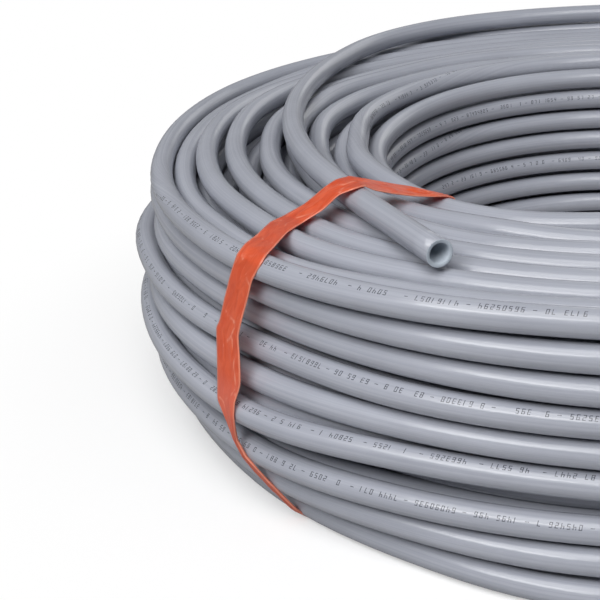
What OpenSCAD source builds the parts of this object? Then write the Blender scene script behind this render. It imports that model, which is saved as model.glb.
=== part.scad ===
// Coil of plastic pressure pipe, lying flat and bound with two film straps.
// Millimetres. +Z is up the coil's axis, and the floor it lies on is Z = 0.
// The turns run anticlockwise, seen from above, towards the free end on top.

/* [Pipe] */
// Outside diameter of the pipe
pipe_od = 16; // [12:0.5:20]
// Wall thickness of the pipe
pipe_wall = 2.2; // [1.5:0.1:3]
// Length of the straight free end that is bored through
free_end_length = 75; // [40:5:120]

/* [Coil] */
// Radius from the axis to the centre of the turns that line the bore
bore_turn_r = 170; // [120:5:240]
// Number of layers of turns from the bore to the outside
layer_count = 9; // [7:1:12]
// Gap between neighbouring layers on the top and bottom
layer_gap = 0.25; // [0.1:0.05:1]
// Number of turns stacked up the bore
bore_rows = 10; // [8:1:14]
// Number of turns stacked up the outside
outer_rows = 9; // [7:1:13]
// Gap between neighbouring turns in a stack
row_gap = 0.2; // [0.1:0.05:1]
// Number of outside turns below the place where the stack has opened
rows_below_opening = 3; // [2:1:5]
// Height of the opening between two turns of the outside stack
outer_opening = 8; // [2:1:12]
// How far the middle of the top dips below its rims
top_dish = 4; // [0:0.5:8]

/* [Loose top turn] */
// Radius of the bend with which the loose turn rises out of the top, up to the rear strap
rise_bend_r = 150; // [120:5:200]
// Azimuth where the loose turn leaves the outside and bends in
loose_leave_az = 113; // [90:1:130]
// Radius of the tight bend that brings the loose turn in across the top
first_bend_r = 166; // [120:2:220]
// Angle of the tight bend
first_bend_angle = 52; // [30:1:60]
// Radius of the long slack bend that follows
second_bend_r = 400; // [300:10:600]
// Angle of the long slack bend
second_bend_angle = 46; // [30:1:60]
// Radius of the last, nearly straight bend before the free end
third_bend_r = 850; // [600:50:1500]
// Angle of the last bend
third_bend_angle = 5; // [2:1:10]
// Gap between the loose turn and the highest crest that it crosses
loose_gap = 0.2; // [0.1:0.05:1]

/* [Straps] */
// Azimuths of the straps around the coil
strap_azimuths = [230, 55];
// Width of a strap
strap_w = 20; // [12:1:30]
// Thickness of a strap, several wraps of film
strap_t = 0.5; // [0.3:0.1:1]
// Clearance between a strap and the crests that it runs over
strap_gap = 0.2; // [0.1:0.05:0.5]

/* [Hidden] */
turn_facets = 96;
ring_facets = 360;
corner_steps = 6;
cut_overrun = 1;
route_samples = 24;
fine_step = 0.01;
// The loose turn is fully up this many degrees before the middle of the rear strap
rise_lead = 1;
// Under the rear strap the rising bend ends inside the loose turn, which is this much thicker all round
joint_overlap = 2;
joint_step = 0.2;
pipe_r = pipe_od / 2;
pipe_bore_r = pipe_r - pipe_wall;
row_step = pipe_od + row_gap;
layer_step = pipe_od + layer_gap;
outer_turn_r = bore_turn_r + (layer_count - 1) * layer_step;
bottom_row_z = strap_t + strap_gap + pipe_r;
outer_top_z = bottom_row_z + (outer_rows - 1) * row_step + outer_opening;
bore_top_z = bottom_row_z + (bore_rows - 1) * row_step;

function polar(r, az) = [r * cos(az), r * sin(az)];
function outer_row_z(row) = bottom_row_z + row * row_step + (row >= rows_below_opening ? outer_opening : 0);
function layer_r(layer) = outer_turn_r - layer * layer_step;
function top_z(layer) = let (share = layer / (layer_count - 1))
    outer_top_z + share * (bore_top_z - outer_top_z) - top_dish * sin(180 * share);

// The turn of the second layer that shows in the opening, nested between its neighbours
nested_turn = let (below = rows_below_opening - 1, half_rise = (row_step + outer_opening) / 2,
                   inset = sqrt(max(0, pow(pipe_od + row_gap, 2) - pow(half_rise, 2))))
    [outer_turn_r - inset, outer_row_z(below) + half_rise];

// Centres of the turns that show, anticlockwise round the section from the bottom of the outside
section_turns = concat(
    [for (row = [0 : rows_below_opening - 1]) [outer_turn_r, outer_row_z(row)]],
    [nested_turn],
    [for (row = [rows_below_opening : outer_rows - 1]) [outer_turn_r, outer_row_z(row)]],
    [for (layer = [1 : layer_count - 2]) [layer_r(layer), top_z(layer)]],
    [for (row = [bore_rows - 1 : -1 : 0]) [bore_turn_r, bottom_row_z + row * row_step]],
    [for (layer = [layer_count - 2 : -1 : 1]) [layer_r(layer), bottom_row_z]]);

// The loose turn has a frame of its own, turned so that its free end runs along +Y. Each bend is
// [centre, radius, angle where it starts, angle that it turns], and starts where the one before
// ends, in the same direction.
loose_start_az = strap_azimuths[1] - rise_lead;
free_end_az = loose_leave_az + first_bend_angle + second_bend_angle + third_bend_angle;
function next_bend(last, r, angle) =
    [last[0] + polar(last[1] - r, last[2] + last[3]), r, last[2] + last[3], angle];
outer_bend = [[0, 0], outer_turn_r, loose_start_az - free_end_az, loose_leave_az - loose_start_az];
first_bend = next_bend(outer_bend, first_bend_r, first_bend_angle);
second_bend = next_bend(first_bend, second_bend_r, second_bend_angle);
third_bend = next_bend(second_bend, third_bend_r, third_bend_angle);
loose_bends = [outer_bend, first_bend, second_bend, third_bend];
free_end_start = third_bend[0] + [third_bend[1], 0];

// The loose turn lies on the highest crest of those it crosses
loose_inner_r = min(concat(
    [norm(free_end_start), norm(free_end_start + [0, free_end_length])],
    [for (bend = loose_bends) for (i = [0 : route_samples])
        norm(bend[0] + polar(bend[1], bend[2] + bend[3] * i / route_samples))]));
loose_z = max([for (layer = [0 : layer_count - 2]) if (layer_r(layer) > loose_inner_r - pipe_r) top_z(layer)])
    + pipe_od + loose_gap;

// The rise bends upwards and round the axis at once, so it lies in a tilted plane. It starts inside
// the outside turn.
rise_height = loose_z - outer_top_z;
rise_tilt = atan2(outer_turn_r, rise_bend_r);
rise_r = 1 / norm([1 / rise_bend_r, 1 / outer_turn_r]);
rise_angle = acos(1 - rise_height / (rise_r * sin(rise_tilt)));

// Distance from the axis at which a bend crosses a direction of the loose turn's frame, and the
// place of that point along the bend
function crossing_r(bend, dir) = let (along = bend[0] * polar(1, dir))
    along + sqrt(max(0, pow(along, 2) - bend[0] * bend[0] + pow(bend[1], 2)));
function crossing_angle(bend, dir) = let (p = polar(crossing_r(bend, dir), dir) - bend[0]) atan2(p[1], p[0]);
function turned(from, to) = (to - from) - 360 * floor((to - from) / 360);
function bend_crosses(bend, dir) = turned(bend[2], crossing_angle(bend, dir)) <= bend[3];

// The same for the straight free end, which counts as crossed a strap's width beyond its tip too
function end_crosses(dir) = let (past = free_end_start[0] * tan(dir) - free_end_start[1])
    cos(dir) > 0 && past >= 0 && past <= free_end_length + strap_w;

// Every place where the loose turn crosses a direction: [distance from the axis, direction of its side]
function crossings(dir) = concat(
    [for (bend = loose_bends) if (bend_crosses(bend, dir))
        [crossing_r(bend, dir), crossing_angle(bend, dir)]],
    end_crosses(dir) ? [[free_end_start[0] / cos(dir), 0]] : []);

// Corners of a strap's path over the loose turn. One that crosses it askew needs two, to clear both
// edges of the strap.
function crest_corners(crossing, dir) = let (
    skew = abs(sin(crossing[1] - dir)),
    spread = strap_w / 2 * skew + pipe_r * (1 / sqrt(1 - skew * skew) - 1))
    skew > 0 ? [[crossing[0] + spread, loose_z], [crossing[0] - spread, loose_z]]
             : [[crossing[0], loose_z]];

// Corners of a strap's path in the plane of the coil's axis: [distance from the axis, height]
function strap_corners(az) = let (dir = az - free_end_az, crossed = crossings(dir)) concat(
    [[outer_turn_r, bottom_row_z], [outer_turn_r, outer_top_z]],
    len(crossed) > 0 ? crest_corners(crossed[0], dir) : [],
    [[bore_turn_r - bore_sagitta, bore_top_z], [bore_turn_r - bore_sagitta, bottom_row_z]]);

// A flat strap needs this much more room in the bore, whose wall curves towards its edges
bore_face_r = bore_turn_r - pipe_r;
bore_sagitta = bore_face_r - sqrt(pow(bore_face_r, 2) - pow(strap_w / 2, 2));

// Outline at a distance round a closed anticlockwise path, with a round corner at each point
function edge_normal(path, i) = let (d = path[(i + 1) % len(path)] - path[i % len(path)]) atan2(-d[0], d[1]);
function outline_at(path, distance) = [for (i = [0 : len(path) - 1])
    let (before = edge_normal(path, i + len(path) - 1), sweep = turned(before, edge_normal(path, i)))
    for (step = [0 : corner_steps]) path[i] + polar(distance, before + sweep * step / corner_steps)];

module pipe_section(r) { circle(r, $fn = turn_facets); }

// Moves in two steps, a round one and the rest, so that neighbouring bends meet exactly
module place(to) {
    coarse = [for (x = to) fine_step * round(x / fine_step)];
    translate(coarse) translate(to - coarse) children();
}

module bend_of_pipe(bend) {
    place(bend[0]) rotate_extrude(angle = bend[3], start = bend[2], $fn = ring_facets)
        translate([bend[1], 0]) pipe_section(pipe_r);
}

module free_end(r, length) {
    place(free_end_start) rotate([-90, 0, 0]) cylinder(h = length, r = r, $fn = turn_facets);
}

module loose_turn() {
    translate([0, 0, loose_z]) rotate([0, 0, free_end_az]) difference() {
        union() {
            for (bend = loose_bends) bend_of_pipe(bend);
            free_end(pipe_r, free_end_length);
        }
        free_end(pipe_bore_r, free_end_length + cut_overrun);
    }
}

module rising_bend() {
    translate([0, 0, loose_z]) rotate([0, 0, loose_start_az]) translate([outer_turn_r, 0, 0])
        rotate([0, -rise_tilt, 0]) translate([-rise_r, 0, 0])
            rotate_extrude(angle = rise_angle + joint_overlap / rise_r * 180 / PI, start = -rise_angle,
                           $fn = ring_facets)
                translate([rise_r, 0]) pipe_section(pipe_r - joint_step);
}

module wound_turns() {
    rotate_extrude($fn = ring_facets) {
        polygon(section_turns);
        for (turn = section_turns) translate(turn) pipe_section(pipe_r);
    }
}

module pipe_coil() {
    color("#A3A9B2") union() {
        wound_turns();
        rising_bend();
        loose_turn();
    }
}

module strap(az) {
    path = strap_corners(az);
    color("#DC5F32") rotate([0, 0, az]) rotate([90, 0, 0])
        linear_extrude(strap_w, center = true) difference() {
            polygon(outline_at(path, pipe_r + strap_gap + strap_t));
            polygon(outline_at(path, pipe_r + strap_gap));
        }
}

module strap_front() { strap(strap_azimuths[0]); }
module strap_rear() { strap(strap_azimuths[1]); }

pipe_coil();
strap_front();
strap_rear();
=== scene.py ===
"""Coil of plastic pressure pipe, lying flat and bound with two straps of film.

The pipe is one length. It is wound in nested layers from the bore outwards, and each layer is
swept along its own course. Lengths are in millimetres and angles in degrees until a mesh is made.
"""
import math
import bpy
from mathutils import Matrix, Vector, noise


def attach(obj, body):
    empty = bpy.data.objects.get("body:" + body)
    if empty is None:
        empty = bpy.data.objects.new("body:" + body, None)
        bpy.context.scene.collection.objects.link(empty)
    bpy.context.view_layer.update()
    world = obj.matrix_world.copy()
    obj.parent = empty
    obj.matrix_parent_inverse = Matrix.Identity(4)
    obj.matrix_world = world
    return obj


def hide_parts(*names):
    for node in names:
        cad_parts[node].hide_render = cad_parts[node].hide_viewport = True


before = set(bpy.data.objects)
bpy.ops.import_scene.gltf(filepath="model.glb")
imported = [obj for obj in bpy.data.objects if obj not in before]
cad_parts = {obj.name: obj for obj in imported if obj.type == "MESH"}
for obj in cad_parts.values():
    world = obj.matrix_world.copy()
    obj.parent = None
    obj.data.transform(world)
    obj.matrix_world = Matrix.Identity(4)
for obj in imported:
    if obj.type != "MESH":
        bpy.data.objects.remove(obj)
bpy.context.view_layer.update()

MM = 0.001
UP = Vector((0, 0, 1))

# The pipe, drawn 14.2 mm thick. The rows that show keep the spacing of the CAD's 16 mm pipe
PIPE_R = 7.1
BORE_R = 5.15

# The outside layer. Its bottom row lies on the straps, just off the floor, and the stack has opened
# above the third row
OUTSIDE_R = 302.6
FLOOR_ROW = 7.9
SECOND_ROW = 24.9
OUTSIDE_ROW = 16.2
ROWS_BELOW_OPENING = 3
OPENING = 8

# Layers are numbered from the outside, which is 1, to the one that lines the bore. The hidden ones
# lie closer, and are spaced inwards from HIDDEN_R
LAYERS = 11
ROWS = 9
HIDDEN_R = 302.0
LAYER = 13.8
HIDDEN_FLOOR_ROW = 9.4
HIDDEN_ROW = 14.4
# How much less each layer is pushed inwards than the one outside it
PUSH_LOST = 1.2

# The turns that line the bore. At the back each stands a millimetre higher off the one below, up to a
# rise of 5 mm
BORE_TURN_R = 164
BORE_ROW = 16.05
BORE_RISE = 5

# Every turn starts at this azimuth. At the back right it dives a row, changes layer or rises a row
TURN_START = 50
TURN_STOP = TURN_START + 360
DIVE, CROSS, RISE = (278, 322), (322, 366), (366, TURN_STOP)

# The loose turn leaves the top of the outside, rises to its height, and crosses the top in bends of
# (radius, angle) that end in a straight free end
LOOSE_START, LOOSE_UP = 6, 54
LOOSE_Z = 163.2
LOOSE_R = 302
LOOSE_BENDS = [(LOOSE_R, 59), (166, 52), (400, 46), (850, 5)]
FREE_END = 75

# The straps
FILM_T = 0.45
FILM_WIDTH = 20
# Taut film runs straight between the places where it bends: 0 is dead straight, 1 is a smooth curve
SLACKNESS = 0.4
REAR_AZIMUTH = 55


def smooth(x):
    x = min(max(x, 0), 1)
    return x * x * (3 - 2 * x)


def on_curve(points, x):
    """Value at x of a smooth curve through (x, value) points, level beyond its ends."""
    if x <= points[0][0]:
        return points[0][1]
    for i in range(len(points) - 1):
        (x0, y0), (x1, y1) = points[i], points[i + 1]
        if x <= x1:
            before = points[max(i - 1, 0)]
            after = points[min(i + 2, len(points) - 1)]
            m0 = (y1 - before[1]) / (x1 - before[0]) * (x1 - x0) if i > 0 else 0
            m1 = (after[1] - y0) / (after[0] - x0) * (x1 - x0) if i < len(points) - 2 else 0
            t = (x - x0) / (x1 - x0)
            return ((2 * t + 1) * (1 - t) ** 2 * y0 + t * (1 - t) ** 2 * m0
                    + t * t * (3 - 2 * t) * y1 + t * t * (t - 1) * m1)
    return points[-1][1]


def polar(radius, azimuth, height=0.0):
    a = math.radians(azimuth)
    return Vector((radius * math.cos(a), radius * math.sin(a), height))


# Camera, floor and light ------------------------------------------------------

def make_camera():
    """Looks down on the left front of the coil, rolled a little, close enough to crop it."""
    yaw, pitch, roll = -0.2723, 0.4044, -0.0739
    ahead = Vector((math.sin(yaw) * math.cos(pitch), math.cos(yaw) * math.cos(pitch), -math.sin(pitch)))
    right = ahead.cross(UP).normalized()
    over = right.cross(ahead)
    facing = Matrix((right * math.cos(roll) + over * math.sin(roll),
                     over * math.cos(roll) - right * math.sin(roll), -ahead)).transposed()
    data = bpy.data.cameras.new("camera")
    data.lens = 76.3
    data.sensor_width = 36
    data.clip_start = 0.01
    camera = bpy.data.objects.new("camera", data)
    camera.matrix_world = Matrix.Translation((0, -0.818, 0.383)) @ facing.to_4x4()
    bpy.context.collection.objects.link(camera)
    bpy.context.scene.camera = camera


def add_lamp(name, azimuth, elevation, size, power, aim=(0, 0, 0.1), distance=3.0):
    """A softbox on a stand, at a direction and distance in metres from the place it is aimed at."""
    data = bpy.data.lights.new(name, "AREA")
    data.shape = "RECTANGLE"
    data.size, data.size_y = size
    data.energy = power
    lamp = bpy.data.objects.new(name, data)
    flat = distance * math.cos(math.radians(elevation))
    away = polar(flat, azimuth, distance * math.sin(math.radians(elevation)))
    lamp.location = Vector(aim) + away
    lamp.rotation_euler = (-away).to_track_quat("-Z", "Y").to_euler()
    bpy.context.collection.objects.link(lamp)


def make_world():
    """Dim light from all round, brighter in reflections, with a white backdrop."""
    world = bpy.data.worlds.new("studio")
    bpy.context.scene.world = world
    world.use_nodes = True
    tree = world.node_tree
    tree.nodes.clear()
    path = add_node(tree, "LightPath")
    seen = add_node(tree, "Math", {0: path.outputs["Is Camera Ray"], 1: path.outputs["Is Transmission Ray"]},
                    operation="MAXIMUM")
    gleam = add_node(tree, "Math", {0: path.outputs["Is Glossy Ray"], 1: 0.25}, operation="MULTIPLY")
    strength = add_node(tree, "Math", {0: gleam, 1: 0.1}, operation="ADD")
    light = add_node(tree, "Background", {"Color": linear("#F4F6FA"), "Strength": strength})
    backdrop = add_node(tree, "Background", {"Color": linear("#FFFFFF"), "Strength": 1.0})
    mixed = add_node(tree, "MixShader", {0: seen, 1: light, 2: backdrop})
    add_node(tree, "OutputWorld", {"Surface": mixed})


def make_studio():
    make_world()
    add_lamp("softbox_front", 243, 40, (1.7, 0.6), 36, aim=(0, -0.3, 0.1))
    add_lamp("softbox_high", 256, 60, (2.6, 1.6), 56)
    add_lamp("softbox_right", 290, 42, (1.4, 0.8), 14, aim=(0, 0.1, 0.1))
    add_lamp("softbox_rear", 70, 24, (2.4, 1.2), 9)
    bpy.ops.mesh.primitive_circle_add(vertices=96, radius=6, fill_type="NGON")
    floor = bpy.context.object
    floor.name = "floor"
    floor.data.materials.append(floor_material())
    bpy.context.scene.view_settings.view_transform = "Standard"


# Materials --------------------------------------------------------------------

def linear(colour):
    """sRGB hex to linear RGBA."""
    values = [int(colour[i:i + 2], 16) / 255 for i in (1, 3, 5)]
    return tuple(v / 12.92 if v <= 0.04045 else ((v + 0.055) / 1.055) ** 2.4 for v in values) + (1,)


def add_node(tree, kind, inputs=None, **settings):
    """Adds a shader node. An input is a constant, a socket, or a node whose first output feeds it."""
    node = tree.nodes.new("ShaderNode" + kind)
    for key, value in settings.items():
        setattr(node, key, value)
    for key, value in (inputs or {}).items():
        if isinstance(value, bpy.types.Node):
            value = value.outputs[0]
        if isinstance(value, bpy.types.NodeSocket):
            tree.links.new(value, node.inputs[key])
        else:
            node.inputs[key].default_value = value
    return node


def new_material(name):
    material = bpy.data.materials.new(name)
    material.use_nodes = True
    tree = material.node_tree
    tree.nodes.clear()
    return material, tree


def floor_material():
    """Pale matt board, which brightens into the backdrop away from the coil."""
    material, tree = new_material("Painted board matt")
    seen = add_node(tree, "LightPath").outputs["Is Camera Ray"]
    colour = add_node(tree, "Mix", {"Factor": seen, 6: linear("#B0B0B0"), 7: linear("#FFFFFF")},
                      data_type="RGBA")
    board = add_node(tree, "BsdfPrincipled", {"Base Color": colour.outputs[2], "Roughness": 0.85, "IOR": 1.3})
    glow = add_node(tree, "Emission", {"Color": linear("#FFFFFF"), "Strength": 1.0})
    reach = add_node(tree, "VectorMath", {0: add_node(tree, "TexCoord").outputs["Object"]},
                     operation="LENGTH")
    away = add_node(tree, "MapRange", {"Value": reach.outputs["Value"], "From Min": 0.27, "From Max": 0.5,
                                       "To Min": 0.35, "To Max": 1.0}, interpolation_type="SMOOTHSTEP")
    share = add_node(tree, "Math", {0: away, 1: seen}, operation="MULTIPLY")
    mixed = add_node(tree, "MixShader", {0: share, 1: board, 2: glow})
    add_node(tree, "OutputMaterial", {"Surface": mixed})
    return material


# Segments of a digit: the digits that light it, and its box in the character's cell, as shares of
# the cell's width and height from its lower left
SEGMENTS = [
    ("02356789", 0.10, 0.62, 0.86, 1.00),
    ("2345689", 0.10, 0.62, 0.43, 0.57),
    ("0235689", 0.10, 0.62, 0.00, 0.14),
    ("045689", 0.06, 0.22, 0.50, 1.00),
    ("01234789", 0.50, 0.66, 0.50, 1.00),
    ("0268", 0.06, 0.22, 0.00, 0.50),
    ("013456789", 0.50, 0.66, 0.00, 0.50),
]
DASH = (0.05, 0.75, 0.43, 0.57)
CHARACTER_WIDTH, CHARACTER_HEIGHT = 2.7, 2.8
SLANT = 0.16
# Of every 11 cells one holds a dash between two spaces, and the rest digits, a fifth of them left out
GROUP_CELLS = 11
DIGITS_FROM = 2.5
LEFT_OUT = 0.22


def ink_in_box(tree, x, y, box, ink):
    """The ink inside a box of the character's cell, and none outside it."""
    for place, low, high in ((x, *box[:2]), (y, *box[2:])):
        above = add_node(tree, "Math", {0: place, 1: low}, operation="GREATER_THAN")
        ink = add_node(tree, "Math", {0: ink, 1: above}, operation="MULTIPLY")
        below = add_node(tree, "Math", {0: place, 1: high}, operation="LESS_THAN")
        ink = add_node(tree, "Math", {0: ink, 1: below}, operation="MULTIPLY")
    return ink


def printed_line(tree, along, across):
    """1 where the ink of a line of plain random digits and dashes lies, from lengths in metres. The
    line reads towards the pipe's start."""
    up = add_node(tree, "Math", {0: across, 1: -CHARACTER_HEIGHT * MM}, operation="DIVIDE")
    y = add_node(tree, "Math", {0: up, 1: 0.5}, operation="ADD")
    lean = add_node(tree, "Math", {0: y, 1: SLANT}, operation="MULTIPLY")
    onward = add_node(tree, "Math", {0: along, 1: -CHARACTER_WIDTH * MM}, operation="DIVIDE")
    slanted = add_node(tree, "Math", {0: onward, 1: lean}, operation="SUBTRACT")
    cell = add_node(tree, "Math", {0: slanted}, operation="FLOOR")
    x = add_node(tree, "Math", {0: slanted, 1: cell}, operation="SUBTRACT")

    # A digit is a power of two, and a segment is lit when that bit is set in its sum of digits
    dice = add_node(tree, "TexWhiteNoise", {"W": cell}, noise_dimensions="1D")
    tenfold = add_node(tree, "Math", {0: dice, 1: 10}, operation="MULTIPLY")
    digit = add_node(tree, "Math", {0: tenfold}, operation="FLOOR")
    bit = add_node(tree, "Math", {0: 2, 1: digit}, operation="POWER")
    ink = None
    for digits, *box in SEGMENTS:
        lit_by = sum(2 ** int(character) for character in digits)
        bits_above = add_node(tree, "Math", {0: lit_by, 1: bit}, operation="DIVIDE")
        whole = add_node(tree, "Math", {0: bits_above}, operation="FLOOR")
        lit = add_node(tree, "Math", {0: whole, 1: 2}, operation="MODULO")
        segment = ink_in_box(tree, x, y, box, lit)
        ink = add_node(tree, "Math", {0: ink, 1: segment}, operation="MAXIMUM") if ink else segment

    place_in_group = add_node(tree, "Math", {0: cell, 1: GROUP_CELLS}, operation="FLOORED_MODULO")
    grouped = add_node(tree, "Math", {0: place_in_group, 1: DIGITS_FROM}, operation="GREATER_THAN")
    other_cell = add_node(tree, "Math", {0: cell, 1: 0.37}, operation="ADD")
    second_dice = add_node(tree, "TexWhiteNoise", {"W": other_cell}, noise_dimensions="1D")
    kept = add_node(tree, "Math", {0: second_dice, 1: LEFT_OUT}, operation="GREATER_THAN")
    shown = add_node(tree, "Math", {0: grouped, 1: kept}, operation="MULTIPLY")
    ink = add_node(tree, "Math", {0: ink, 1: shown}, operation="MULTIPLY")
    at_dash = add_node(tree, "Math", {0: place_in_group, 1: 1, 2: 0.5}, operation="COMPARE")
    dash = ink_in_box(tree, x, y, DASH, at_dash)
    return add_node(tree, "Math", {0: ink, 1: dash}, operation="MAXIMUM")


def pipe_material():
    """Cross-linked polyethylene, extruded and wiped smooth: a soft gloss with faint drawn lines
    along the pipe, slow waves that break up its highlights, and a line of ink-jet digits."""
    material, tree = new_material("PE-X pipe extruded gloss")
    course = add_node(tree, "UVMap", uv_map="course")
    parts = add_node(tree, "SeparateXYZ", {0: course})
    place = add_node(tree, "TexCoord").outputs["Object"]

    # Drawn lines: long along the pipe and 1 to 2 mm apart across it
    stretch = add_node(tree, "Mapping", {"Vector": course, "Scale": (3, 700, 1)})
    drawn = add_node(tree, "TexNoise", {"Vector": stretch, "Scale": 1.0, "Detail": 3.0, "Roughness": 0.6},
                     noise_dimensions="2D")
    # Clouding, about 60 mm across
    cloud = add_node(tree, "TexNoise", {"Vector": place, "Scale": 16.0, "Detail": 2.0})
    drawn_share = add_node(tree, "Math", {0: drawn, 1: 0.6}, operation="MULTIPLY")
    cloud_share = add_node(tree, "Math", {0: cloud, 1: 0.4}, operation="MULTIPLY")
    tone = add_node(tree, "Math", {0: drawn_share, 1: cloud_share}, operation="ADD")
    grey = add_node(tree, "ValToRGB", {"Fac": tone})
    grey.color_ramp.elements[0].position = 0.3
    grey.color_ramp.elements[0].color = linear("#989BA5")
    grey.color_ramp.elements[1].position = 0.7
    grey.color_ramp.elements[1].color = linear("#A9ACB6")

    # The ink is broken up by scuffs and dust a millimetre across
    scuff = add_node(tree, "TexNoise", {"Vector": place, "Scale": 900.0, "Detail": 2.0})
    left_on = add_node(tree, "MapRange", {"Value": scuff, "From Min": 0.3, "From Max": 0.5,
                                          "To Min": 0.45, "To Max": 0.85})
    line = printed_line(tree, parts.outputs["X"], parts.outputs["Y"])
    ink = add_node(tree, "Math", {0: line, 1: left_on}, operation="MULTIPLY")
    colour = add_node(tree, "Mix", {"Factor": ink, 6: grey, 7: linear("#34363C")}, data_type="RGBA")
    rough = add_node(tree, "MapRange", {"Value": drawn, "From Min": 0.0, "From Max": 1.0,
                                        "To Min": 0.14, "To Max": 0.30})

    # Slow waves, 50 mm long, then ripples of 5 mm, then the drawn lines
    wave_map = add_node(tree, "Mapping", {"Vector": course, "Scale": (18, 60, 1)})
    wave = add_node(tree, "TexNoise", {"Vector": wave_map, "Scale": 1.0, "Detail": 1.0},
                    noise_dimensions="2D")
    waves = add_node(tree, "Bump", {"Height": wave, "Strength": 1.0, "Distance": 0.0006})
    ripple_map = add_node(tree, "Mapping", {"Vector": course, "Scale": (200, 260, 1)})
    ripple = add_node(tree, "TexNoise", {"Vector": ripple_map, "Scale": 1.0, "Detail": 2.0},
                      noise_dimensions="2D")
    ripples = add_node(tree, "Bump", {"Height": ripple, "Normal": waves, "Strength": 1.0,
                                      "Distance": 0.00008})
    lines = add_node(tree, "Bump", {"Height": drawn, "Normal": ripples, "Strength": 0.5,
                                    "Distance": 0.00003})
    shader = add_node(tree, "BsdfPrincipled", {"Base Color": colour.outputs[2], "Roughness": rough,
                                               "Normal": lines, "IOR": 1.51})
    add_node(tree, "OutputMaterial", {"Surface": shader})
    return material


def sawn_material():
    """The same plastic where it is cut across: paler and matt, with fine saw marks."""
    material, tree = new_material("PE-X pipe cut end")
    place = add_node(tree, "TexCoord").outputs["Object"]
    marks = add_node(tree, "TexNoise", {"Vector": place, "Scale": 1400.0, "Detail": 2.0})
    tone = add_node(tree, "ValToRGB", {"Fac": marks})
    tone.color_ramp.elements[0].color = linear("#A7B0BA")
    tone.color_ramp.elements[1].color = linear("#BCC5CE")
    bump = add_node(tree, "Bump", {"Height": marks, "Strength": 0.4, "Distance": 0.0001})
    shader = add_node(tree, "BsdfPrincipled", {"Base Color": tone, "Normal": bump, "Roughness": 0.5,
                                               "IOR": 1.51})
    add_node(tree, "OutputMaterial", {"Surface": shader})
    return material


def film_material():
    """Polyethylene film, several wraps pulled tight: deep orange with a soft gloss, some light coming
    through it, flat facets where it has folded, fine pale stretch lines and pale edges."""
    material, tree = new_material("PE film stretched orange")
    course = add_node(tree, "UVMap", uv_map="course")
    # Creases 5 mm apart, a little askew, and facets of 15 to 25 mm
    crease_map = add_node(tree, "Mapping", {"Vector": course, "Scale": (70, 190, 1),
                                            "Rotation": (0, 0, 0.12)})
    crease = add_node(tree, "TexNoise", {"Vector": crease_map, "Scale": 1.0, "Detail": 4.0,
                                         "Roughness": 0.6, "Distortion": 0.8}, noise_dimensions="2D")
    facet_map = add_node(tree, "Mapping", {"Vector": course, "Scale": (38, 60, 1)})
    facet = add_node(tree, "TexVoronoi", {"Vector": facet_map, "Scale": 1.0},
                     voronoi_dimensions="2D", feature="DISTANCE_TO_EDGE")
    orange = add_node(tree, "ValToRGB", {"Fac": crease})
    orange.color_ramp.elements[0].position = 0.3
    orange.color_ramp.elements[0].color = linear("#D4522B")
    orange.color_ramp.elements[1].position = 0.72
    orange.color_ramp.elements[1].color = linear("#E96D45")

    # It turns pale along its edges, and where a fold has stretched it
    near_edge = add_node(tree, "SeparateXYZ", {"Vector": course}).outputs["Y"]
    far_edge = add_node(tree, "Math", {0: FILM_WIDTH * MM, 1: near_edge}, operation="SUBTRACT")
    to_edge = add_node(tree, "Math", {0: near_edge, 1: far_edge}, operation="MINIMUM")
    edge = add_node(tree, "MapRange", {"Value": to_edge, "From Min": 0.0013, "From Max": 0.0004,
                                       "To Max": 0.7})
    fold = add_node(tree, "MapRange", {"Value": facet, "From Min": 0.05, "From Max": 0.0, "To Max": 0.9})
    broken = add_node(tree, "MapRange", {"Value": crease, "From Min": 0.48, "From Max": 0.66})
    broken_fold = add_node(tree, "Math", {0: fold, 1: broken}, operation="MULTIPLY")
    pale = add_node(tree, "Math", {0: edge, 1: broken_fold}, operation="MAXIMUM")

    # There are fewer wraps low down, so the film is pinker there
    place = add_node(tree, "SeparateXYZ", {"Vector": add_node(tree, "TexCoord").outputs["Object"]})
    thin = add_node(tree, "MapRange", {"Value": place.outputs["Z"], "From Min": 0.088,
                                       "From Max": 0.078, "To Max": 0.55})
    wrapped = add_node(tree, "Mix", {"Factor": thin, 6: orange, 7: linear("#DE7763")}, data_type="RGBA")
    colour = add_node(tree, "Mix", {"Factor": pale, 6: wrapped.outputs[2], 7: linear("#F3A78C")},
                      data_type="RGBA")

    facets = add_node(tree, "Bump", {"Height": facet, "Strength": 0.6, "Distance": 0.0012})
    creases = add_node(tree, "Bump", {"Height": crease, "Normal": facets, "Strength": 0.6,
                                      "Distance": 0.0004})
    front = add_node(tree, "BsdfPrincipled", {"Base Color": colour.outputs[2], "Normal": creases,
                                              "Roughness": 0.35, "IOR": 1.5, "Sheen Weight": 0.15,
                                              "Sheen Roughness": 0.4, "Sheen Tint": linear("#FFB8A4")})
    through = add_node(tree, "BsdfTranslucent", {"Color": linear("#FF6233")})
    mixed = add_node(tree, "MixShader", {"Fac": 0.22, 1: front, 2: through})
    add_node(tree, "OutputMaterial", {"Surface": mixed})
    return material


# Winding ----------------------------------------------------------------------

# A turn sways between two azimuths, by a value every few degrees from the first one on
SWAY_STARTS, SWAY_FIRST, SWAY_STEP, SWAY_STOPS = 95, 115, 15, 296
# Degrees above the outside of a turn at which its print is out of sight, below it
PRINT_BELOW = -90
# Azimuths over which the print turns to the side that it has on the next turn
PRINT_TURNS_FROM, PRINT_TURNS_OVER = 285, 120


def turn(radius, height, outward=((0, 0),), upward=((0, 0),), print_side=((0, PRINT_BELOW),)):
    """One turn of the winding. outward and upward are its sway, as (azimuth, mm) points, and
    print_side is where its printed line runs, as (azimuth, degrees above the outside) points."""
    return {"radius": radius, "height": height, "outward": list(outward), "upward": list(upward),
            "print_side": list(print_side)}


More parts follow.
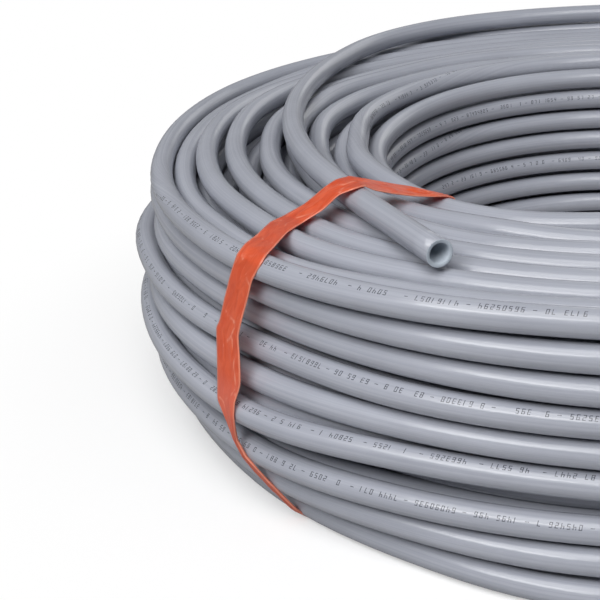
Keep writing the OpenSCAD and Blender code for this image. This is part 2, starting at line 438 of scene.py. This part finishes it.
def sway(*values):
    """Sway in mm, and none where the turns pass into each other."""
    swaying = [(SWAY_FIRST + SWAY_STEP * i, value) for i, value in enumerate(values)]
    return [(SWAY_STARTS, 0)] + swaying + [(SWAY_STOPS, 0)]


def nested_rows(number):
    """Rows of a hidden layer, upwards. They lie close, and odd layers are nested half a row higher."""
    radius = HIDDEN_R - (number - 1) * LAYER
    first = HIDDEN_FLOOR_ROW + (HIDDEN_ROW / 2 if number % 2 else 0)
    return [turn(radius, first + HIDDEN_ROW * row) for row in range(ROWS)]


def round_again(points, azimuth):
    """Value at an azimuth of a curve that comes back to its first value a full round later."""
    return on_curve(points + [(TURN_STOP, on_curve(points, TURN_START))], azimuth)


def spot(this, azimuth):
    """Radius and height of a turn at an azimuth, with its sway."""
    return (this["radius"] + round_again(this["outward"], azimuth),
            this["height"] + round_again(this["upward"], azimuth))


def course_of_turn(this, after, window, steps, stop=TURN_STOP):
    """Points of one turn, which passes into the one after it in a window of azimuths. Each is
    (place, print side)."""
    points = []
    for step in range(steps + 1):
        azimuth = TURN_START + (stop - TURN_START) * step / steps
        share = smooth((azimuth - window[0]) / (window[1] - window[0])) if after else 0
        r, z = spot(this, azimuth)
        side = on_curve(this["print_side"], azimuth)
        if share > 0:
            r1, z1 = spot(after, azimuth)
            r, z = r + share * (r1 - r), z + share * (z1 - z)
        if after:
            turned = smooth((azimuth - PRINT_TURNS_FROM) / PRINT_TURNS_OVER)
            side += turned * (after["print_side"][0][1] - side)
        points.append((polar(r, azimuth, z), side))
    return points


def course_of_layer(turns, last_after, last_window, rising, steps):
    """Points of turns that follow each other up or down. The last one passes into last_after, in a
    window of its own."""
    points = []
    for this, after in zip(turns, turns[1:] + [last_after]):
        window = last_window if after is last_after else RISE if rising else DIVE
        points += course_of_turn(this, after, window, steps)[1 if points else 0:]
    return points


def pipe_mesh(name, points, sides, materials, tail=(), start_along=0.0):
    """Sweeps the pipe along points, each (place, print side) in mm, into one closed mesh. tail adds
    rings at the end: (how far back from the end, radius). The UV map holds lengths in metres along
    the pipe and round it from the printed line."""
    places = [place for place, _ in points]
    along = [start_along]
    for a, b in zip(places, places[1:]):
        along.append(along[-1] + (b - a).length)
    last = len(points) - 1
    rings = [(i, 0.0, PIPE_R) for i in range(len(points))] + [(last, back, radius) for back, radius in tail]
    vertices, where = [], []
    for i, back, radius in rings:
        ahead = (places[min(i + 1, last)] - places[max(i - 1, 0)]).normalized()
        outside = ahead.cross(UP).normalized()
        over = outside.cross(ahead)
        centre = places[i] - ahead * back
        start = math.radians(points[i][1] + 180)
        for j in range(sides):
            a = start + 2 * math.pi * j / sides
            vertices.append((centre + outside * radius * math.cos(a) + over * radius * math.sin(a)) * MM)
        where.append((along[i] - back) * MM)

    faces, uvs = [], []
    round_pipe = 2 * math.pi * PIPE_R * MM
    for k in range(len(rings) - 1):
        for j in range(sides):
            n = (j + 1) % sides
            faces.append((k * sides + j, (k + 1) * sides + j, (k + 1) * sides + n, k * sides + n))
            v0, v1 = (j / sides - 0.5) * round_pipe, ((j + 1) / sides - 0.5) * round_pipe
            uvs.append(((where[k], v0), (where[k + 1], v0), (where[k + 1], v1), (where[k], v1)))
    top = (len(rings) - 1) * sides
    faces.append(tuple(range(sides)))
    uvs.append(((where[0], round_pipe / 2),) * sides)
    faces.append(tuple(range(top + sides - 1, top - 1, -1)))
    uvs.append(((where[-1], round_pipe / 2),) * sides)

    piece = mesh_object(name, vertices, faces, uvs, materials)
    if tail:
        swept = last * sides
        piece.data.polygons.foreach_set("material_index", [0] * swept + [1] * (len(faces) - swept))
    # The ends stay crisp, so that one length passes into the next without a shaded ring
    for edge in piece.data.edges:
        edge.use_edge_sharp = max(edge.vertices) < sides or min(edge.vertices) >= top
    return piece


def mesh_object(name, vertices, faces, uvs, materials):
    """A smooth-shaded object with the UV map course, from vertices in metres."""
    mesh = bpy.data.meshes.new(name)
    mesh.from_pydata([tuple(v) for v in vertices], [], faces)
    course = mesh.uv_layers.new(name="course")
    course.data.foreach_set("uv", [value for face in uvs for corner in face for value in corner])
    for material in materials:
        mesh.materials.append(material)
    mesh.polygons.foreach_set("use_smooth", [True] * len(faces))
    mesh.update()
    piece = bpy.data.objects.new(name, mesh)
    bpy.context.collection.objects.link(piece)
    return piece


def finish_piece(piece, node):
    """Says which body a piece rides on, and hides the node that it stands in for."""
    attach(piece, "root")
    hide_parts(node)


# The sways here and in all_layers, and the radii and heights of the turns that show on the top, were
# fitted by least squares and rounded. Some of them were then changed.
def outer_rows():
    """The outside layer, upwards. Three rows lie below the place where it has opened, and on the left
    the rows above that place have slipped outwards."""
    rows = [
        (sway(0, 0, 0, 0, -1, -3, -6.5, -9.5, -7.5, -4.5, 3, 2), PRINT_BELOW),
        (sway(0, 0, 0, -1, -1.5, -2.5, -3, -0.5, 2.5, 0, 1, 0), PRINT_BELOW),
        (sway(0, 0, 0, 0.5, 2, 4.5, 7.5, 8, 9.5, 3.5, -0.5, -2), 38),
        (sway(0, 0, 1.5, 4.5, 9.5, 14.5, 14, 14, 13.5, 2.5, -1.5, 1), 60),
        (sway(0, 0, 0, 0.5, 2, 4.5, 7, 5.5, 3, -1, -2, 0), -75),
        (sway(0, 0, 2, 10, 16, 17.5, 9.5, 3, -2.5, -1, -1, 0), 48),
        (sway(0, 0, 0, 0.5, 0.5, 0.5, -0.5, -5.5, -7, -5, -1.5, 1), PRINT_BELOW),
        (sway(0, 0.5, 1.5, 3, 4, 3.5, -2, -4.5, -4, -2.5, -1.5, 0), PRINT_BELOW),
    ]
    turns = []
    for row, (outward, side) in enumerate(rows):
        opened = OPENING if row >= ROWS_BELOW_OPENING else 0
        height = SECOND_ROW + OUTSIDE_ROW * (row - 1) + opened if row else FLOOR_ROW
        turns.append(turn(OUTSIDE_R, height, outward, print_side=[(0, side)]))
    turns.append(turn(302.8, 146.8, sway(3.5, 9.5, 13.5, 12, 5.5, 0, -1.5, -1.5, 1.5, 0.5, -2.5, -1),
                      [(50, 0), (75, 1.5), (115, 1.5), (145, 0)], print_side=[(196, -50), (216, 58)]))
    return turns


def bore_rows():
    """The turns that line the bore, upwards, and where their print runs."""
    print_sides = {7: [(0, 155)], 6: [(125, 60), (154, 155), (174, 155), (200, 270)],
                   4: [(0, 150)], 1: [(0, 130)]}
    turns = []
    for row in range(ROWS):
        rise = min(row, BORE_RISE)
        turns.append(turn(BORE_TURN_R, FLOOR_ROW + BORE_ROW * row,
                          upward=[(TURN_START, rise / 2), (90, rise), (140, rise), (200, 0)],
                          print_side=print_sides.get(row, [(0, 0)])))
    return turns


def follow_inwards(layers, number):
    """Pushes a layer in where the rows that it lies against are, a little less than they are."""
    above = number % 2
    for row, this in enumerate(layers[number]):
        against = [layers[number - 1][k] for k in (row - 1 + above, row + above) if 0 <= k < ROWS]
        this["outward"] = [(points[0][0], min(0, min(mm for _, mm in points) + PUSH_LOST))
                           for points in zip(*(one["outward"] for one in against))]


def all_layers():
    """(number, turns) of every layer, from the bore outwards, with its turns in the order in which
    they are wound. Odd layers are wound upwards and even ones downwards."""
    layers = {number: nested_rows(number) for number in range(2, LAYERS)}
    layers[1] = outer_rows()
    layers[LAYERS] = bore_rows()
    # The second layer follows the outside, but for the turn that shows in its opening
    for row, outside in enumerate(layers[1][:-1]):
        layers[2][row if row < ROWS_BELOW_OPENING else row + 1]["outward"] = outside["outward"]
    layers[2][ROWS_BELOW_OPENING]["outward"] = [(azimuth, 0) for azimuth, _ in outside["outward"]]
    for number in range(3, LAYERS - 1):
        follow_inwards(layers, number)
    # The turns that show on the top
    layers[2].append(turn(287.8, 146.4, sway(2.5, 6, 8, 6.5, 3, 0.5, -1, -2.5, 0.5, -0.5, 0, 0),
                          sway(0, 0, 0, -2, -1.5, -3, -6, -5.5, -5.5, -3, -1, 0)))
    layers[3].append(turn(271.8, 146.7, sway(2.5, 6, 8, 7, 4.5, 2, -0.5, -2.5, 0, -0.5, 0, 0),
                          sway(0, 0, 0.5, 2, 4.5, 4, 1.5, 0.5, -0.5, -0.5, 0, 0)))
    layers[4].append(turn(255.8, 146.7, sway(2, 5.5, 8, 7, 4.5, 0, -4, -5, -2.5, -0.5, 0, 0),
                          sway(0, 0, 1, 5, 6, 3.5, 2, 1, 0, 0, 0, 0)))
    layers[6].append(turn(238.2, 147.3, sway(1, 2, 2.5, 3.5, 1, -5, -6.5, -6, -1.5, 1, 0.5, 0)))
    layers[7].append(turn(221.6, 147.8, sway(1.5, 2.5, 3, 4, 1.5, -6, -10, -6, -2, 1, 1, 0),
                          sway(1, 2, 2, 3.5, 0.5, 0.5, 1, 0.5, 0, -1, 0, 0)))
    layers[8].append(turn(204.6, 146.4, sway(2, 3.5, 4, 5, 3, -3.5, -7.5, -5, -1, 2, 1, 0),
                          sway(-1, 0, 0, 0, -0.5, -5, -5, -1.5, 1, 3, 1, 0)))
    layers[9][-1] = turn(190, 139, sway(1, 1.5, 1.5, 0.5, -1.5, -5, -7, -3, 3, 6, 3, 0),
                         sway(0.5, 0.5, 0.5, 0, -1, -2.5, -4, -5, -5, -3, -1, 0))
    layers[10].append(turn(178.5, 150, sway(0, 0.5, 0.5, 0, -1, -3.5, 0, 1, 4, 5, 3, 0),
                           sway(0, 0, 0, 0, 0, 0, 0, -1.5, -4, -4, -2, 0),
                           [(115, 0), (150, 150), (176, 150), (205, 270)]))
    return [(number, layers[number][::1 if number % 2 else -1]) for number in range(LAYERS, 0, -1)]


def loose_course(top):
    """The rise of the loose turn off the top outside turn, its bends across the top and the straight
    free end."""
    points = []
    rise_steps, bend_step, end_steps = 24, 1.5, 5
    for step in range(rise_steps + 1):
        azimuth = LOOSE_START + (LOOSE_UP - LOOSE_START) * step / rise_steps
        share = smooth(step / rise_steps)
        r = top["radius"] + share * (LOOSE_R - top["radius"])
        z = top["height"] + share * (LOOSE_Z - top["height"])
        side = top["print_side"][-1][1]
        points.append((polar(r, azimuth, z), side + share * (PRINT_BELOW - side)))
    place, heading = points[-1][0], LOOSE_UP + 90
    for radius, angle in LOOSE_BENDS:
        steps = max(int(angle / bend_step), 3)
        chord = 2 * radius * math.sin(math.radians(angle / steps / 2))
        for _ in range(steps):
            heading += angle / steps / 2
            place = place + polar(chord, heading)
            heading += angle / steps / 2
            points.append((place, PRINT_BELOW))
    for _ in range(end_steps):
        place = place + polar(FREE_END / end_steps, heading)
        points.append((place, PRINT_BELOW))
    return points


def outside_course(turns):
    """Points of the outside layer, which ends in the loose turn."""
    points = course_of_layer(turns[:-1], turns[-1], RISE, True, 160)
    points += course_of_turn(turns[-1], None, RISE, 140, stop=360 + LOOSE_START)[1:]
    return points + loose_course(turns[-1])[1:]


def make_pipe():
    """One mesh for each layer. The outside one ends in the loose turn and its bored end."""
    pipe, sawn = pipe_material(), sawn_material()
    edge_round, bore_depth = 0.3, 60
    bored_end = [(0.0, PIPE_R - edge_round), (0.0, BORE_R + edge_round), (0.4, BORE_R), (bore_depth, BORE_R)]
    layers = all_layers()
    along = 0.0
    for (number, turns), (_, next_turns) in zip(layers, layers[1:] + [(0, None)]):
        name = f"pipe_layer_{number:02d}"
        if next_turns:
            shows = number in (2, 10, 11)
            steps, sides = (150, 22) if shows else (110, 16)
            points = course_of_layer(turns, next_turns[0], CROSS, number % 2 == 1, steps)
            piece = pipe_mesh(name, points, sides, [pipe], start_along=along)
        else:
            points = outside_course(turns)
            piece = pipe_mesh(name, points, 30, [pipe, sawn], bored_end, along)
        finish_piece(piece, "pipe_coil")
        along += sum((b[0] - a[0]).length for a, b in zip(points, points[1:]))


# Straps -----------------------------------------------------------------------

# The left and right edge of the front strap as (radius, azimuth, height), from the foot of the bore
# up over the top and down the outside, where it narrows into a fold and slips under the coil. Its
# stations on the outside were worked out by a program and then moved, and the rest were given one by one
FRONT_STRAP = [
    ((156.2, 233.0, 3.0), (156.2, 240.0, 3.0)),
    ((156.0, 233.0, 70), (156.0, 240.0, 70)),
    ((156.0, 233.6, 130), (156.0, 240.3, 130)),
    ((158.0, 234.4, 140.4), (158.0, 240.0, 140.4)),
    ((165.0, 234.8, 144.4), (165.0, 239.2, 144.4)),
    ((174.8, 235.2, 147.0), (174.8, 238.6, 146.8)),
    ((177.6, 235.3, 152.0), (177.6, 238.2, 151.6)),
    ((182.4, 235.2, 154.2), (182.8, 238.0, 153.9)),
    ((189.5, 234.6, 156.8), (190.5, 238.0, 156.0)),
    ((198.6, 232.2, 160.8), (203.0, 236.2, 158.6)),
    ((213.0, 231.4, 166.0), (216.0, 235.4, 163.0)),
    ((221.5, 230.8, 169.2), (227.0, 234.8, 167.4)),
    ((229.0, 229.8, 171.2), (233.0, 234.5, 171.0)),
    ((236.5, 229.7, 171.4), (240.5, 234.5, 171.4)),
    ((242.6, 229.1, 168.0), (246.5, 233.2, 168.6)),
    ((251.0, 227.3, 158.8), (252.0, 231.6, 160.5)),
    ((260.8, 226.2, 153.6), (262.5, 230.4, 154.4)),
    ((275.3, 227.8, 154.8), (277.0, 231.8, 154.9)),
    ((290.5, 230.0, 155.0), (297.0, 234.4, 155.1)),
    ((303.5, 231.4, 155.0), (306.0, 235.4, 155.0)),
    ((309.6, 231.7, 151.8), (310.2, 235.5, 151.8)),
    ((312.1, 231.1, 142.0), (312.6, 234.5, 142.2)),
    ((314.4, 230.2, 127.2), (313.9, 233.9, 132.0)),
    ((316.8, 229.5, 113.1), (315.6, 233.3, 121.9)),
    ((317.4, 229.0, 108.4), (317.6, 232.8, 110.6)),
    ((320.2, 229.4, 92.5), (319.8, 233.2, 96.0)),
    ((322.5, 229.7, 79.0), (321.5, 233.3, 84.0)),
    ((324.4, 230.0, 70.4), (323.8, 232.8, 74.0)),
    ((325.0, 231.0, 63.8), (325.0, 232.7, 66.0)),
    ((324.0, 231.5, 56.5), (324.2, 232.5, 58.0)),
    ((322.2, 231.7, 48.5), (322.4, 232.2, 49.5)),
    ((319.9, 232.2, 38.8), (320.2, 232.9, 40.2)),
    ((315.5, 233.1, 28.5), (316.2, 234.2, 30.5)),
    ((311.0, 234.4, 19.5), (311.8, 235.3, 21.5)),
    ((304.9, 235.6, 8.0), (305.6, 236.6, 9.5)),
    ((298.0, 235.9, 1.2), (298.0, 236.9, 1.4)),
    ((285.0, 234.5, 0.3), (285.0, 238.0, 0.3)),
    ((230.0, 233.5, 0.3), (230.0, 238.5, 0.3)),
    ((163.0, 233.0, 0.3), (163.0, 240.0, 0.3)),
]
# Room between the film and the pipe that it runs over
FILM_GAP = 0.2
# Film narrower than this is folded up, to three thicknesses at the most
FOLDED_BELOW, MOST_FOLDS = 14, 3
# Lowest that film lies, so that it never dips into the floor
FILM_FLOOR = 0.02


def curve_through(points, spacing):
    """Pairs of places spacing mm apart, or a little more, on a closed curve through pairs of places."""
    result = []
    count = len(points)
    for i in range(count):
        quad = [points[(i + k) % count] for k in (-1, 0, 1, 2)]
        length = ((quad[2][0] + quad[2][1]) - (quad[1][0] + quad[1][1])).length / 2
        steps = max(int(length / spacing), 1)
        for step in range(steps):
            t = step / steps
            result.append(tuple(quad[1][side].lerp(quad[2][side], t).lerp(
                catmull_rom([pair[side] for pair in quad], t), SLACKNESS) for side in (0, 1)))
    return result


def catmull_rom(p, t):
    """A point between p[1] and p[2], on a curve whose speed follows the spacing of the points."""
    d0, d1, d2 = (max((b - a).length, 1e-6) ** 0.5 for a, b in zip(p, p[1:]))
    m1 = ((p[1] - p[0]) / d0 - (p[2] - p[0]) / (d0 + d1) + (p[2] - p[1]) / d1) * d1
    m2 = ((p[2] - p[1]) / d1 - (p[3] - p[1]) / (d1 + d2) + (p[3] - p[2]) / d2) * d1
    return ((2 * t + 1) * (1 - t) ** 2 * p[1] + t * (1 - t) ** 2 * m1
            + t * t * (3 - 2 * t) * p[2] + t * t * (t - 1) * m2)


def pleat_lift(share, along):
    """How far pleats lift the film at a share of its width and a length along it, for a depth of 1."""
    fold = 1 - abs(noise.noise(Vector((share * 2.4 + along * 0.03, along * 0.05, 3.1)))) * 4
    wave = noise.noise(Vector((share * 4.1, along * 0.08, 8.4)))
    held_at_edges = min(12 * share * (1 - share), 1)
    return (max(fold, 0) + 0.5 * max(wave + 0.2, 0)) * held_at_edges


def film_mesh(name, pairs, material, pleat_depth, across=16):
    """A closed band of film through pairs of (left, right) places in mm, pleated along its length.
    pleat_depth gives the depth of the pleats at a place."""
    count = len(pairs)
    along = [0.0]
    for i in range(count):
        here, after = pairs[i], pairs[(i + 1) % count]
        along.append(along[-1] + ((after[0] + after[1]) - (here[0] + here[1])).length / 2)
    vertices = []
    for i, (left, right) in enumerate(pairs):
        before, after = pairs[i - 1], pairs[(i + 1) % count]
        ahead = ((after[0] + after[1]) - (before[0] + before[1])).normalized()
        over = ahead.cross((right - left).normalized()).normalized()
        # A narrow place holds as much film as a wide one, folded up
        thick = FILM_T * min(max(FOLDED_BELOW / (right - left).length, 1), MOST_FOLDS)
        depth = pleat_depth((left + right) / 2)
        for side in (1, -1):
            for j in range(across + 1):
                share = j / across if side == 1 else 1 - j / across
                lift = pleat_lift(share, along[i]) * depth
                place = left.lerp(right, share) + over * (side * thick / 2 + lift)
                place.z = max(place.z, FILM_FLOOR)
                vertices.append(place * MM)

    faces, uvs = [], []
    ring = 2 * (across + 1)
    for i in range(count):
        n = (i + 1) % count
        for j in range(ring):
            k = (j + 1) % ring
            faces.append((i * ring + j, n * ring + j, n * ring + k, i * ring + k))
            v = [FILM_WIDTH * MM * (m if m <= across else ring - 1 - m) / across for m in (j, k)]
            uvs.append(((along[i] * MM, v[0]), (along[i + 1] * MM, v[0]),
                        (along[i + 1] * MM, v[1]), (along[i] * MM, v[1])))
    return mesh_object(name, vertices, faces, uvs, [material])


def rear_strap_pairs():
    """Edges of the rear strap, taut round the corners of the winding at its azimuth."""
    corners = [(163.6, FLOOR_ROW), (163.6, 140), (178.5, 150.2), (302.8, LOOSE_Z), (302.8, FLOOR_ROW)]
    gap = PIPE_R + FILM_GAP + FILM_T / 2
    corner_steps = 6
    outwards, sideways = polar(1, REAR_AZIMUTH), polar(1, REAR_AZIMUTH + 90)
    pairs = []
    for i, (r, z) in enumerate(corners):
        r0, z0 = corners[i - 1]
        r1, z1 = corners[(i + 1) % len(corners)]
        start = math.atan2(r - r0, -(z - z0))
        end = math.atan2(r1 - r, -(z1 - z))
        sweep = (start - end) % (2 * math.pi)
        for step in range(corner_steps + 1):
            angle = start - sweep * step / corner_steps
            middle = outwards * (r + gap * math.cos(angle)) + UP * (z + gap * math.sin(angle))
            pairs.append((middle - sideways * FILM_WIDTH / 2, middle + sideways * FILM_WIDTH / 2))
    return pairs


def front_pleats(place):
    """Depth of the front strap's pleats: most on the slope up to the loose turn, none on the floor."""
    if place.z > 151 and place.xy.length < 232:
        return 0.9
    return 0.35 if place.z > 5 else 0


def make_straps():
    film = film_material()
    front_pairs = [tuple(polar(*edge) for edge in pair) for pair in FRONT_STRAP]
    front = film_mesh("strap_front_film", curve_through(front_pairs, 1.6), film, front_pleats)
    rear = film_mesh("strap_rear_film", curve_through(rear_strap_pairs(), 2.4), film, lambda place: 0)
    finish_piece(front, "strap_front")
    finish_piece(rear, "strap_rear")


make_camera()
make_studio()
make_pipe()
make_straps()
